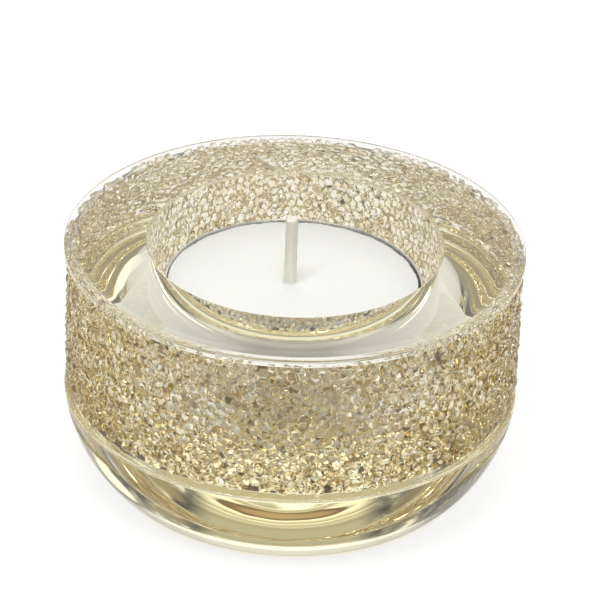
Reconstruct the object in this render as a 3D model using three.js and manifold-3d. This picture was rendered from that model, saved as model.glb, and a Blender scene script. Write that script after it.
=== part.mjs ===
// A crystal tealight holder: a heavy clear crystal body with a well for a tealight, and a band of
// small pointed stones in courses round a groove between its thin rim and its rounded base.
// Millimetres, +Z up. The origin is the middle of the flat foot.
import * as THREE from "three";
import { mergeVertices } from "three/addons/utils/BufferGeometryUtils.js";
import Module from "manifold-3d";

// Tealight: a standard candle in its aluminium cup.
const TEALIGHT_RADIUS = 19.8;
const TEALIGHT_HEIGHT = 15.8;
const CUP_WALL = 0.3;
const CUP_CORNER = 1.2;
const WAX_BELOW_CUP_RIM = 0.4;
const WAX_EDGE = 0.3;
const WICK_RADIUS = 1;
const WICK_TIP_RADIUS = 0.9;
const WICK_ABOVE_WAX = 11.5;
const WICK_OFFSET = 0.6; // the wick stands this far off the middle, to -X
const SUSTAINER_RADIUS = 6;
const SUSTAINER_PLATE = 0.4;
const SUSTAINER_COLLAR_WALL = 0.4;
const SUSTAINER_COLLAR_HEIGHT = 3;

// Crystal body, from the well outwards and from the foot upwards.
const WELL_FLOOR_THICKNESS = 16.2;
const WELL_CORNER = 1;
const LIP_EDGE = 0.4; // radius of the edge between the top and the well
const TOP_DISH = 0.1; // how far the top falls towards the well
const TOP_DISH_WIDTH = 4.5;
const TOP_FALL = 0.22; // how far the top falls towards the rim
const TOP_FALL_WIDTH = 2.6;
const TOP_CURVE = 2.5; // power of both falls
const GLASS_WALL = 10.3; // from the well to the groove
const GROOVE_DEPTH = 2.2;
const RIM_OVERHANG = 0.2; // past the shoulder of the base
const RIM_THICKNESS = 1.4;
const RIM_EDGE = 0.2;
const BAND_HEIGHT = 22.9;
const BASE_HEIGHT = 14.7;
const SHOULDER_EDGE = 0.3;
const FOOT_INSET = 7.6; // from the shoulder in to the edge of the foot
const SIDE_CURVE = 22.5; // radius of the rounded side of the base

// Band of stones.
const ADHESIVE_THICKNESS = 0.2;
const CARRIER_THICKNESS = 0.25;
const COURSES = 14;
const STONES_PER_COURSE = 72;
const STONE_GIRDLE = 0.4; // from a stone's flat back out to its edge
const STONE_POINT = 0.8; // from a stone's edge out to its tip
const TIP_SCATTER = 0.25; // how much the tips differ from each other

// Clearances between neighbours.
const WELL_CLEARANCE = 2.5; // round the tealight in the well
const CANDLE_CLEARANCE = 0.3; // round the wax in its cup
const WICK_CLEARANCE = 0.3; // round the wick and its collar
const SEAT_GAP = 0.2; // under what stands on something
const BOND_GAP = 0.15; // between the bonded layers of the band
const COURSE_GAP = 0.2; // above and below each course

// Faces round a turned piece. Layers that lie against each other share them.
const SEGMENTS = 48;
const LIP_STEPS = 4;
const TOP_STEPS = 4;
const SIDE_STEPS = 10;
const CORNER_STEPS = 3;
const WICK_SIDES = 10;

// Places that follow from the sizes above.
const wellRadius = TEALIGHT_RADIUS + WELL_CLEARANCE;
const grooveRadius = wellRadius + GLASS_WALL;
const shoulderRadius = grooveRadius + GROOVE_DEPTH;
const rimRadius = shoulderRadius + RIM_OVERHANG;
const footRadius = shoulderRadius - FOOT_INSET;
const bandTop = BASE_HEIGHT + BAND_HEIGHT;
const bodyTop = bandTop + RIM_THICKNESS;
const adhesiveRadius = grooveRadius + BOND_GAP;
const carrierRadius = adhesiveRadius + ADHESIVE_THICKNESS + BOND_GAP;
const stoneRadius = carrierRadius + CARRIER_THICKNESS + BOND_GAP;
const cupBase = WELL_FLOOR_THICKNESS + SEAT_GAP;
const cupRim = cupBase + TEALIGHT_HEIGHT;
const candleBase = cupBase + CUP_WALL + SEAT_GAP;
const waxTop = cupRim - WAX_BELOW_CUP_RIM;
const collarBore = WICK_RADIUS + WICK_CLEARANCE;
const collarRadius = collarBore + SUSTAINER_COLLAR_WALL;
const collarTop = candleBase + SUSTAINER_PLATE + SUSTAINER_COLLAR_HEIGHT;

const wasm = await Module();
wasm.setup();

// Points of a round arc in a lathe profile, from one angle to another, in degrees.
function arc(centreRadius, centreHeight, radius, from, to, steps) {
  const points = [];
  for (let i = 0; i <= steps; i += 1) {
    const angle = THREE.MathUtils.degToRad(from + ((to - from) * i) / steps);
    const r = centreRadius + radius * Math.cos(angle);
    const z = centreHeight + radius * Math.sin(angle);
    points.push([r, z]);
  }
  return points;
}

// Points of the round arc of a given radius that bulges outwards from a low point to a high one.
function bulge([lowR, lowZ], [highR, highZ], radius, steps) {
  const chord = Math.hypot(highR - lowR, highZ - lowZ);
  const depth = Math.sqrt(radius ** 2 - (chord / 2) ** 2);
  const centreR = (lowR + highR) / 2 - (depth * (highZ - lowZ)) / chord;
  const centreZ = (lowZ + highZ) / 2 + (depth * (highR - lowR)) / chord;
  const from = THREE.MathUtils.radToDeg(Math.atan2(lowZ - centreZ, lowR - centreR));
  const to = THREE.MathUtils.radToDeg(Math.atan2(highZ - centreZ, highR - centreR));
  return arc(centreR, centreZ, radius, from, to, steps);
}

// A turned solid about +Z, from a profile of radius and height that runs upwards on the outside.
function turned(profile) {
  const points = profile.map(([r, z]) => new THREE.Vector2(r, z));
  return new THREE.LatheGeometry(points, SEGMENTS).rotateX(Math.PI / 2);
}

// A plain sleeve about +Z.
function sleeve(inner, thickness, low, high) {
  const outer = inner + thickness;
  return turned([[inner, low], [outer, low], [outer, high], [inner, high], [inner, low]]);
}

function solidOf(geometry) {
  const bare = geometry.clone();
  bare.deleteAttribute("normal");
  bare.deleteAttribute("uv");
  const merged = mergeVertices(bare);
  const vertProperties = merged.attributes.position.array;
  const triVerts = new Uint32Array(merged.index.array);
  return new wasm.Manifold(new wasm.Mesh({ numProp: 3, vertProperties, triVerts }));
}

function cut(geometry, tool) {
  const mesh = solidOf(geometry).subtract(solidOf(tool)).getMesh();
  const result = new THREE.BufferGeometry();
  result.setAttribute("position", new THREE.BufferAttribute(mesh.vertProperties, mesh.numProp));
  result.setIndex(new THREE.BufferAttribute(mesh.triVerts, 1));
  return result;
}

// Points of the polished top, from where it is level to where it has fallen by its drop.
function topFall(levelRadius, reach, drop) {
  return Array.from({ length: TOP_STEPS + 1 }, (_, i) => {
    const along = i / TOP_STEPS;
    return [levelRadius + reach * along, bodyTop - drop * along ** TOP_CURVE];
  });
}

// The crystal body: foot, rounded side, shoulder, groove, thin rim, polished top, lip and well.
function crystalBody() {
  const foot = [footRadius, 0];
  const shoulder = [shoulderRadius, BASE_HEIGHT - SHOULDER_EDGE];
  const lipCentre = wellRadius + LIP_EDGE;
  const lipTop = bodyTop - TOP_DISH;
  const rimTop = bodyTop - TOP_FALL;
  const cornerCentre = wellRadius - WELL_CORNER;
  const floor = WELL_FLOOR_THICKNESS;
  return turned([
    [0, 0],
    ...bulge(foot, shoulder, SIDE_CURVE, SIDE_STEPS),
    [shoulderRadius - SHOULDER_EDGE, BASE_HEIGHT],
    [grooveRadius, BASE_HEIGHT],
    [grooveRadius, bandTop],
    [rimRadius - RIM_EDGE, bandTop],
    [rimRadius, bandTop + RIM_EDGE],
    [rimRadius, rimTop - RIM_EDGE],
    ...topFall(rimRadius - RIM_EDGE - TOP_FALL_WIDTH, TOP_FALL_WIDTH, TOP_FALL).reverse(),
    ...topFall(lipCentre + TOP_DISH_WIDTH, -TOP_DISH_WIDTH, TOP_DISH).slice(0, -1),
    ...arc(lipCentre, lipTop - LIP_EDGE, LIP_EDGE, 90, 180, LIP_STEPS),
    ...arc(cornerCentre, floor + WELL_CORNER, WELL_CORNER, 0, -90, CORNER_STEPS),
    [0, floor],
  ]);
}

// A steady number from 0 to 1 for each stone, so that the tips look hand set.
function scatter(course, stone, salt) {
  const wave = Math.sin(course * 12.9898 + stone * 78.233 + salt * 37.719) * 43758.5453;
  return wave - Math.floor(wave);
}

// One course of stones: a ring with a flat back whose outside is a row of four-sided points.
function stoneCourse(course) {
  const height = (BAND_HEIGHT - COURSE_GAP * (COURSES + 1)) / COURSES;
  const low = BASE_HEIGHT + COURSE_GAP + course * (height + COURSE_GAP);
  const high = low + height;
  const stagger = (course % 2) / 2;
  const girdleRadius = stoneRadius + STONE_GIRDLE;
  const vertices = [];
  const triangles = [];
  const place = (radius, turn, z) => {
    const angle = turn * 2 * Math.PI;
    vertices.push(radius * Math.sin(angle), -radius * Math.cos(angle), z);
    return vertices.length / 3 - 1;
  };
  const ring = (radius, count, shift, z) =>
    Array.from({ length: count }, (_, i) => place(radius, (i + shift) / count, z));
  const flatPoints = (indices) =>
    indices.map((i) => new THREE.Vector2(vertices[3 * i], vertices[3 * i + 1]));

  const outerLow = ring(girdleRadius, STONES_PER_COURSE, stagger, low);
  const outerHigh = ring(girdleRadius, STONES_PER_COURSE, stagger, high);
  const backLow = ring(stoneRadius, SEGMENTS, 0, low);
  const backHigh = ring(stoneRadius, SEGMENTS, 0, high);

  for (let i = 0; i < STONES_PER_COURSE; i += 1) {
    const next = (i + 1) % STONES_PER_COURSE;
    const turn = (i + stagger + 0.5 + TIP_SCATTER * (scatter(course, i, 1) - 0.5)) / STONES_PER_COURSE;
    const reach = STONE_POINT * (1 - TIP_SCATTER * scatter(course, i, 2));
    const level = (low + high) / 2 + height * TIP_SCATTER * (scatter(course, i, 3) - 0.5);
    const tip = place(girdleRadius + reach, turn, level);
    const edge = [outerLow[i], outerLow[next], outerHigh[next], outerHigh[i]];
    edge.forEach((corner, side) => triangles.push(corner, edge[(side + 1) % 4], tip));
  }
  for (let i = 0; i < SEGMENTS; i += 1) {
    const next = (i + 1) % SEGMENTS;
    triangles.push(backLow[next], backLow[i], backHigh[i]);
    triangles.push(backLow[next], backHigh[i], backHigh[next]);
  }
  const lows = [...outerLow, ...backLow];
  const highs = [...outerHigh, ...backHigh];
  const ends = THREE.ShapeUtils.triangulateShape(flatPoints(outerLow), [flatPoints(backLow)]);
  ends.forEach((corners) => {
    const flat = flatPoints(corners.map((i) => lows[i]));
    const [a, b, c] = THREE.ShapeUtils.area(flat) > 0 ? corners : [...corners].reverse();
    triangles.push(highs[a], highs[b], highs[c]);
    triangles.push(lows[c], lows[b], lows[a]);
  });

  const geometry = new THREE.BufferGeometry();
  geometry.setAttribute("position", new THREE.Float32BufferAttribute(vertices, 3));
  geometry.setIndex(triangles);
  return geometry;
}

// The tealight's cup: a flat bottom, a rounded corner and a thin straight wall.
function tealightCup() {
  const cornerCentre = TEALIGHT_RADIUS - CUP_CORNER;
  const inside = CUP_CORNER - CUP_WALL;
  return turned([
    [0, cupBase],
    ...arc(cornerCentre, cupBase + CUP_CORNER, CUP_CORNER, -90, 0, CORNER_STEPS),
    [TEALIGHT_RADIUS, cupRim],
    [TEALIGHT_RADIUS - CUP_WALL, cupRim],
    ...arc(cornerCentre, cupBase + CUP_CORNER, inside, 0, -90, CORNER_STEPS),
    [0, cupBase + CUP_WALL],
  ]);
}

// The wax, with the room that the wick and its sustainer take.
function candleWax() {
  const radius = TEALIGHT_RADIUS - CUP_WALL - CANDLE_CLEARANCE;
  const foot = CUP_CORNER - CUP_WALL;
  const block = turned([
    [0, candleBase],
    [radius - foot, candleBase],
    [radius, candleBase + foot],
    [radius, waxTop - WAX_EDGE],
    [radius - WAX_EDGE, waxTop],
    [0, waxTop],
  ]);
  const past = 1;
  const plateRoom = SUSTAINER_RADIUS + WICK_CLEARANCE;
  const plateTop = candleBase + SUSTAINER_PLATE + WICK_CLEARANCE;
  const collarRoom = collarRadius + WICK_CLEARANCE;
  const wickRoom = WICK_RADIUS + WICK_CLEARANCE;
  const room = turned([
    [0, candleBase - past],
    [plateRoom, candleBase - past],
    [plateRoom, plateTop],
    [collarRoom, plateTop],
    [collarRoom, collarTop + WICK_CLEARANCE],
    [wickRoom, collarTop + WICK_CLEARANCE],
    [wickRoom, waxTop + past],
    [0, waxTop + past],
  ]);
  room.translate(-WICK_OFFSET, 0, 0);
  return cut(block, room);
}

// The steel disc under the wick, with the collar that is crimped round it.
function wickSustainer() {
  const plateTop = candleBase + SUSTAINER_PLATE;
  return turned([
    [collarBore, candleBase],
    [SUSTAINER_RADIUS, candleBase],
    [SUSTAINER_RADIUS, plateTop],
    [collarRadius, plateTop],
    [collarRadius, collarTop],
    [collarBore, collarTop],
    [collarBore, candleBase],
  ]);
}

function piece(name, geometry, color, roughness, metalness) {
  const material = new THREE.MeshStandardMaterial({ color, roughness, metalness });
  const mesh = new THREE.Mesh(geometry, material);
  mesh.name = name;
  return mesh;
}

const holder = new THREE.Group();
holder.add(piece("crystal_body", crystalBody(), 0xf1eee0, 0.02, 0));

const band = new THREE.Group();
const filmLow = BASE_HEIGHT + COURSE_GAP;
const filmHigh = bandTop - COURSE_GAP;
const adhesive = sleeve(adhesiveRadius, ADHESIVE_THICKNESS, filmLow, filmHigh);
const carrier = sleeve(carrierRadius, CARRIER_THICKNESS, filmLow, filmHigh);
band.add(piece("adhesive_film", adhesive, 0xefe6c8, 0.15, 0));
band.add(piece("carrier_film", carrier, 0xc9b581, 0.3, 0));
for (let course = 0; course < COURSES; course += 1) {
  const number = String(course + 1).padStart(2, "0");
  band.add(piece(`crystal_course_${number}`, stoneCourse(course), 0xd9c898, 0.05, 0.1));
}
holder.add(band);

const candle = new THREE.Group();
candle.add(piece("candle_wax", candleWax(), 0xf7faf1, 0.5, 0));
const wickHeight = waxTop + WICK_ABOVE_WAX - candleBase;
const wickShape = new THREE.CylinderGeometry(WICK_TIP_RADIUS, WICK_RADIUS, wickHeight, WICK_SIDES);
const wick = piece("wick", wickShape.rotateX(Math.PI / 2), 0xd9d7c4, 0.8, 0);
wick.position.set(-WICK_OFFSET, 0, candleBase + wickHeight / 2);
candle.add(wick);
const sustainer = piece("wick_sustainer", wickSustainer(), 0xb9bbbd, 0.35, 1);
sustainer.position.x = -WICK_OFFSET;
candle.add(sustainer);

const tealight = new THREE.Group();
tealight.add(piece("tealight_cup", tealightCup(), 0xc4c6c8, 0.3, 1));
tealight.add(candle);
holder.add(tealight);

export default holder;
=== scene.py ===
"""Crystal tealight holder: a turned crystal body, a band of small cut stones and a tealight in the well."""

import math

import bpy
import numpy as np
from mathutils import Matrix, Vector, kdtree, noise


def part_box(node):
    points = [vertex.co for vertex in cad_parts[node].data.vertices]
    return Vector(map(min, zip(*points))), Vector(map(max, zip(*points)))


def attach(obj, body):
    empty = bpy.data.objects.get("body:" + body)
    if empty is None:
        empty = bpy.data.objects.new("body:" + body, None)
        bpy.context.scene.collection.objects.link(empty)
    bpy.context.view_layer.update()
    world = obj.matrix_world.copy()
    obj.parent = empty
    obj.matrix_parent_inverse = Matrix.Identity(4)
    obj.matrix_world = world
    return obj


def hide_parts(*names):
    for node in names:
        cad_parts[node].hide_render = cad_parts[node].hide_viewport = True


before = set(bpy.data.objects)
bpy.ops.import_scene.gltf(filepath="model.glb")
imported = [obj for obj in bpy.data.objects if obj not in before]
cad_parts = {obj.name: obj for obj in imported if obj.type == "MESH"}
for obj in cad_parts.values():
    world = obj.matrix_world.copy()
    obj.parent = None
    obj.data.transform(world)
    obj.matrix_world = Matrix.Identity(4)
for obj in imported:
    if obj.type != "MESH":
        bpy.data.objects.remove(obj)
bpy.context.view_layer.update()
MM = 0.001


# Crystal body: one heavy piece of clear crystal with a faint warm tint, turned and polished. It has a deep
# round well with a small rounded edge, a top that falls a little to both sides, a thin rim, a groove for the
# band of stones and a rounded base on a flat foot.
body_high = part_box("crystal_body")[1]
film_low, film_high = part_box("adhesive_film")
FILM_END_GAP = 0.2 * MM
rim_radius = body_high.x
body_top = body_high.z
groove_low = film_low.z - FILM_END_GAP
groove_high = film_high.z + FILM_END_GAP
GROOVE_RADIUS = 33.0 * MM
GROOVE_EDGE = 0.06 * MM
WELL_RADIUS = 22.3 * MM
WELL_FLOOR = 16.2 * MM
WELL_CORNER = 1 * MM
LIP_EDGE = 0.4 * MM
TOP_CURVE = 2.5
TOP_DISH = 0.1 * MM
TOP_DISH_WIDTH = 4.5 * MM
TOP_FALL = 0.22 * MM
TOP_FALL_WIDTH = 2.6 * MM
RIM_TOP_EDGE = 0.2 * MM
RIM_LOWER_EDGE = 0.15 * MM
SHOULDER_RADIUS = 34.8 * MM
SHOULDER_EDGE = 0.5 * MM
FOOT_RADIUS = 27.2 * MM
FOOT_EDGE = 0.6 * MM
SIDE_CURVE = 22.5 * MM
SIDE_TOP_DROP = 0.3 * MM
CLEAR_STRIP = 0.3 * MM
BODY_SEGMENTS = 288
CRYSTAL_INDEX = 1.53
CRYSTAL_TINT = (0.98, 0.845, 0.035, 1)
CRYSTAL_TINT_DENSITY = 4.4


def ring(radius, height, segments, middle=0.0):
    """A ring of points round the axis, or round a line at x = middle; both sizes may vary round it."""
    turn = 2 * math.pi * np.arange(segments) / segments
    level = np.broadcast_to(height, segments)
    return np.stack((middle + radius * np.cos(turn), radius * np.sin(turn), level), axis=1)


def skinned(name, rings, segments):
    """A closed mesh over rings that run outwards and down; a ring of one point closes an end."""
    starts = np.cumsum([0] + [len(loop) for loop in rings])
    faces, part = [], []
    for k in range(len(rings) - 1):
        for j in range(segments):
            n = (j + 1) % segments
            here, there = len(rings[k]), len(rings[k + 1])
            first, second = starts[k], starts[k + 1]
            corners = [first + j % here, second + j % there, second + n % there, first + n % here]
            faces.append(list(dict.fromkeys(int(corner) for corner in corners)))
            part.append(k)
    mesh = bpy.data.meshes.new(name)
    mesh.from_pydata(np.concatenate(rings).tolist(), [], faces)
    mesh.shade_smooth()
    made = bpy.data.objects.new(name, mesh)
    bpy.context.scene.collection.objects.link(made)
    return made, part


def turned(name, profile, segments):
    """A mesh turned about Z from profile points of radius, height, normal across and normal up."""
    rings, normals = [], []
    for r, z, across, up in profile:
        count = segments if r > 1e-9 else 1
        rings.append(ring(r, z, count))
        normals.append(ring(across, up, count))
    made, part = skinned(name, rings, segments)
    made.data.normals_split_custom_set_from_vertices(np.concatenate(normals).tolist())
    return made, part


def arc(centre, radius, start, end, steps, hollow=False):
    """Points of a profile on an arc from start to end degrees; hollow turns the normal to the centre."""
    sign = -1 if hollow else 1
    made = []
    for k in range(steps + 1):
        a = math.radians(start + (end - start) * k / steps)
        c, s = math.cos(a), math.sin(a)
        made.append((centre[0] + radius * c, centre[1] + radius * s, sign * c, sign * s))
    return made


def top_fall(level_radius, reach, drop, steps):
    """Points of the polished top, from where it is level to where it has fallen by drop."""
    made = []
    for k in range(steps + 1):
        u = k / steps
        slope = TOP_CURVE * drop / reach * u ** (TOP_CURVE - 1)
        tilt = Vector((slope, 1)).normalized()
        made.append((level_radius + reach * u, body_top - drop * u ** TOP_CURVE, tilt.x, tilt.y))
    return made


side_start = Vector((FOOT_RADIUS, 0))
side_end = Vector((SHOULDER_RADIUS, groove_low - SIDE_TOP_DROP))
chord = side_end - side_start
sag_arm = math.sqrt(SIDE_CURVE ** 2 - chord.length_squared / 4)
side_centre = (side_start + side_end) / 2 + Vector((-chord.y, chord.x)).normalized() * sag_arm


def fillet_in_side(height, radius):
    """Centre of a fillet of that radius inside the side's curve at that height, and its angle there."""
    r = side_centre.x + math.sqrt((SIDE_CURVE - radius) ** 2 - (height - side_centre.y) ** 2)
    return (r, height), math.degrees(math.atan2(height - side_centre.y, r - side_centre.x))


shoulder_centre, shoulder_angle = fillet_in_side(groove_low - SHOULDER_EDGE, SHOULDER_EDGE)
foot_centre, foot_angle = fillet_in_side(FOOT_EDGE, FOOT_EDGE)
dish_tilt = math.atan(TOP_CURVE * TOP_DISH / TOP_DISH_WIDTH)
fall_tilt = math.atan(TOP_CURVE * TOP_FALL / TOP_FALL_WIDTH)
lip_centre = (WELL_RADIUS + LIP_EDGE, body_top - TOP_DISH - LIP_EDGE * math.cos(dish_tilt))
dish_level = WELL_RADIUS + LIP_EDGE * (1 - math.sin(dish_tilt)) + TOP_DISH_WIDTH
fall_level = rim_radius - RIM_TOP_EDGE * (1 - math.sin(fall_tilt)) - TOP_FALL_WIDTH
rim_centre = (rim_radius - RIM_TOP_EDGE, body_top - TOP_FALL - RIM_TOP_EDGE * math.cos(fall_tilt))
corner_centre = (WELL_RADIUS - WELL_CORNER, WELL_FLOOR + WELL_CORNER)
groove_middle = GROOVE_RADIUS + GROOVE_EDGE

well_profile = [(0, WELL_FLOOR, 0, 1)]
well_profile += arc(corner_centre, WELL_CORNER, -90, 0, 10, hollow=True)
well_profile += arc(lip_centre, LIP_EDGE, 180, 90 + math.degrees(dish_tilt), 14)
top_profile = top_fall(dish_level, -TOP_DISH_WIDTH, TOP_DISH, 16)[-2::-1]
top_profile += top_fall(fall_level, TOP_FALL_WIDTH, TOP_FALL, 14)[:-1]
rim_profile = arc(rim_centre, RIM_TOP_EDGE, 90 - math.degrees(fall_tilt), 0, 10)
rim_profile += arc((rim_radius - RIM_LOWER_EDGE, groove_high + RIM_LOWER_EDGE), RIM_LOWER_EDGE, 0, -90, 8)
groove_top = arc((groove_middle, groove_high - GROOVE_EDGE), GROOVE_EDGE, 90, 180, 4, hollow=True)
groove_foot = arc((groove_middle, groove_low + GROOVE_EDGE), GROOVE_EDGE, 180, 270, 4, hollow=True)
base_profile = arc(shoulder_centre, SHOULDER_EDGE, 90, shoulder_angle, 8)
base_profile += arc(side_centre, SIDE_CURVE, shoulder_angle, foot_angle, 40)[1:-1]
base_profile += arc(foot_centre, FOOT_EDGE, foot_angle, -90, 10)
above_wall = well_profile + top_profile + rim_profile + groove_top
wall_end = [(GROOVE_RADIUS, groove_low + CLEAR_STRIP, 1, 0)]
body_profile = above_wall + wall_end + groove_foot + base_profile + [(0, 0, 0, -1)]
crystal_body, body_parts = turned("crystal_body_turned", body_profile, BODY_SEGMENTS)

# The wall of the groove is wetted by the adhesive, so nothing of it shows: its faces are left clear, down to
# a narrow strip above the base that the band doesn't reach.
polished = crystal_body.data.attributes.new("polished", "FLOAT", "FACE")
polished.data.foreach_set("value", [0.0 if part == len(above_wall) - 1 else 1.0 for part in body_parts])

crystal = bpy.data.materials.new("polished_crystal")
crystal.use_nodes = True
nodes, links = crystal.node_tree.nodes, crystal.node_tree.links
glass = nodes["Principled BSDF"]
glass.inputs["Base Color"].default_value = (1, 1, 1, 1)
glass.inputs["Roughness"].default_value = 0
glass.inputs["IOR"].default_value = CRYSTAL_INDEX
glass.inputs["Transmission Weight"].default_value = 1
bare = nodes.new("ShaderNodeAttribute")
bare.attribute_name = "polished"
links.new(bare.outputs["Fac"], glass.inputs["Alpha"])
depth_tint = nodes.new("ShaderNodeVolumeAbsorption")
depth_tint.inputs["Color"].default_value = CRYSTAL_TINT
depth_tint.inputs["Density"].default_value = CRYSTAL_TINT_DENSITY
links.new(depth_tint.outputs[0], nodes["Material Output"].inputs["Volume"])
crystal_body.data.materials.append(crystal)
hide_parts("crystal_body")
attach(crystal_body, "holder")


# Adhesive film: a clear double-sided sheet, wrapped once round the groove, that bonds the band to the crystal
# with no air between them.
ADHESIVE_INNER = 33.02 * MM
ADHESIVE_OUTER = 33.06 * MM


def sleeve(name, inner, outer, low, high, rows, segments):
    """A thin closed tube round the axis, with rows of faces up its two walls."""
    heights = [high + (low - high) * k / rows for k in range(rows + 1)]
    rings = [ring(outer, z, segments) for z in heights]
    rings += [ring(inner, z, segments) for z in reversed(heights)]
    made, _ = skinned(name, rings, segments)
    mesh = made.data
    points = [vertex.co[:] for vertex in mesh.vertices]
    faces = [list(face.vertices) for face in mesh.polygons]
    last = (len(rings) - 1) * segments
    for j in range(segments):
        n = (j + 1) % segments
        faces.append([last + j, j, n, last + n])
    mesh.clear_geometry()
    mesh.from_pydata(points, [], faces)
    mesh.shade_smooth()
    mesh.set_sharp_from_angle(angle=math.radians(40))
    return made


def two_tone(material, source, low, high):
    """A colour between two stops, each a place and a colour, that follows a socket."""
    node = material.node_tree.nodes.new("ShaderNodeValToRGB")
    for element, (place_on_ramp, colour) in zip(node.color_ramp.elements, (low, high)):
        element.position = place_on_ramp
        element.color = colour
    material.node_tree.links.new(source, node.inputs["Fac"])
    return node.outputs["Color"]


band_low = groove_low + CLEAR_STRIP
adhesive_film = sleeve("adhesive_sheet", ADHESIVE_INNER, ADHESIVE_OUTER, band_low, film_high.z, 2, 288)
adhesive = bpy.data.materials.new("clear_adhesive")
adhesive.use_nodes = True
nodes, links = adhesive.node_tree.nodes, adhesive.node_tree.links
nodes.remove(nodes["Principled BSDF"])
place = nodes.new("ShaderNodeTexCoord")
cloud = nodes.new("ShaderNodeTexNoise")
cloud.inputs["Scale"].default_value = 180
links.new(place.outputs["Object"], cloud.inputs["Vector"])
warmer, clearer = (0.35, (0.985, 0.965, 0.92, 1)), (0.65, (1, 0.995, 0.975, 1))
clear = nodes.new("ShaderNodeBsdfTransparent")
links.new(two_tone(adhesive, cloud.outputs["Fac"], warmer, clearer), clear.inputs["Color"])
links.new(clear.outputs[0], nodes["Material Output"].inputs["Surface"])
adhesive_film.data.materials.append(adhesive)
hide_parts("adhesive_film")
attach(adhesive_film, "holder")


# Stones: small cut champagne crystals, poured shoulder to shoulder into the resin of the carrier, so that
# each is tilted, turned and sunk a little differently. Their flat backs lie against the crystal.
STONE_COUNT = 2050
STONE_SEAT = 33.92 * MM
STONE_RISE = 0.28 * MM
LOWEST_SUNK = 0.5 * MM
LOWEST_REACH = 0.7 * MM
STONE_GIRDLE = 0.96 * MM
STONE_DOME = 0.52 * MM
STONE_TOP = 0.42 * MM
STONE_BACK = 0.28 * MM
STONE_TABLE = 0.78 * MM
STONE_TILT = math.radians(24)
STONE_CHIP = 0.5 * MM
STONE_SEED = 11
STONE_INDEX = 1.62
LOWEST_IN_GIRDLES = 0.85
HIGHEST_IN_GIRDLES = 0.66
COURSES = 14


def settled_points(count, radius, low, high, seed, rounds=40):
    """Evenly crowded random points on a cylinder round Z, between two heights."""
    rng = np.random.default_rng(seed)
    reach = 1.15 * math.sqrt(2 * math.pi * radius * (high - low) / count)
    angle = rng.random(count) * 2 * math.pi
    height = low + rng.random(count) * (high - low)
    for _ in range(rounds):
        at = np.stack((radius * np.cos(angle), radius * np.sin(angle), height), axis=1)
        near = kdtree.KDTree(count)
        for k in range(count):
            near.insert(at[k], k)
        near.balance()
        pairs = []
        for k in range(count):
            pairs += [(k, other) for _, other, _ in near.find_range(at[k], reach) if other != k]
        one, other = np.array(pairs).T
        step = at[one] - at[other]
        far = np.linalg.norm(step, axis=1) + 1e-9
        step *= (0.35 * reach * np.clip(1 - far / reach, 0, None) / far)[:, None]
        push = np.zeros_like(at)
        np.add.at(push, one, step)
        angle += (push[:, 1] * np.cos(angle) - push[:, 0] * np.sin(angle)) / radius
        height = np.clip(height + push[:, 2], low, high)
    return angle, height


stone_low = band_low + LOWEST_IN_GIRDLES * STONE_GIRDLE
stone_high = groove_high - HIGHEST_IN_GIRDLES * STONE_GIRDLE
stone_angles, stone_heights = settled_points(STONE_COUNT, STONE_SEAT, stone_low, stone_high, STONE_SEED)
stone_seats = STONE_SEAT + STONE_RISE * np.random.default_rng(STONE_SEED).random(STONE_COUNT)
stone_seats -= LOWEST_SUNK * np.exp((stone_low - stone_heights) / LOWEST_REACH)


class Tree:
    """A node tree that is built by naming each node's kind, settings and inputs."""

    def __init__(self, tree):
        self.tree = tree

    def add(self, kind, inputs=None, **settings):
        node = self.tree.nodes.new(kind)
        for name, value in settings.items():
            setattr(node, name, value)
        for name, value in (inputs or {}).items():
            socket = node.inputs[name]
            if isinstance(value, bpy.types.NodeSocket):
                self.tree.links.new(value, socket)
            else:
                socket.default_value = value
        return node


stone_tree = bpy.data.node_groups.new("stones_on_points", "GeometryNodeTree")
face = stone_tree.interface
face.new_socket("Geometry", in_out="OUTPUT", socket_type="NodeSocketGeometry")
face.new_socket("Geometry", in_out="INPUT", socket_type="NodeSocketGeometry")
stone_inputs = {}
for label, kind in (
    ("Girdle", "NodeSocketFloat"),
    ("Dome", "NodeSocketFloat"),
    ("Top", "NodeSocketFloat"),
    ("Back", "NodeSocketFloat"),
    ("Table", "NodeSocketFloat"),
    ("Tilt", "NodeSocketFloat"),
    ("Chip", "NodeSocketFloat"),
    ("Seed", "NodeSocketInt"),
    ("Material", "NodeSocketMaterial"),
):
    stone_inputs[label] = face.new_socket(label, in_out="INPUT", socket_type=kind).identifier
g = Tree(stone_tree)
given = g.add("NodeGroupInput").outputs


def times(value, factor):
    """A socket's value times a plain number."""
    return g.add("ShaderNodeMath", {0: value, 1: factor}, operation="MULTIPLY").outputs[0]


def opened(cone, ends):
    """A cone without the faces of the named ends."""
    mesh = cone.outputs["Mesh"]
    for end in ends:
        unwanted = {"Geometry": mesh, "Selection": cone.outputs[end]}
        mesh = g.add("GeometryNodeDeleteGeometry", unwanted, domain="FACE").outputs[0]
    return mesh


def frustum(sides, top, bottom, depth):
    """A short cone with flat ends."""
    sizes = {"Vertices": sides, "Radius Top": top, "Radius Bottom": bottom, "Depth": depth}
    return g.add("GeometryNodeMeshCone", sizes, fill_type="NGON")


def marked(mesh, shows):
    """A mesh whose faces say whether light bends at them: those in the bond don't."""
    stored = g.add(
        "GeometryNodeStoreNamedAttribute",
        {"Geometry": mesh, "Name": "cut_facet", "Value": shows},
        data_type="FLOAT",
        domain="FACE",
    )
    return stored.outputs[0]


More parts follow.
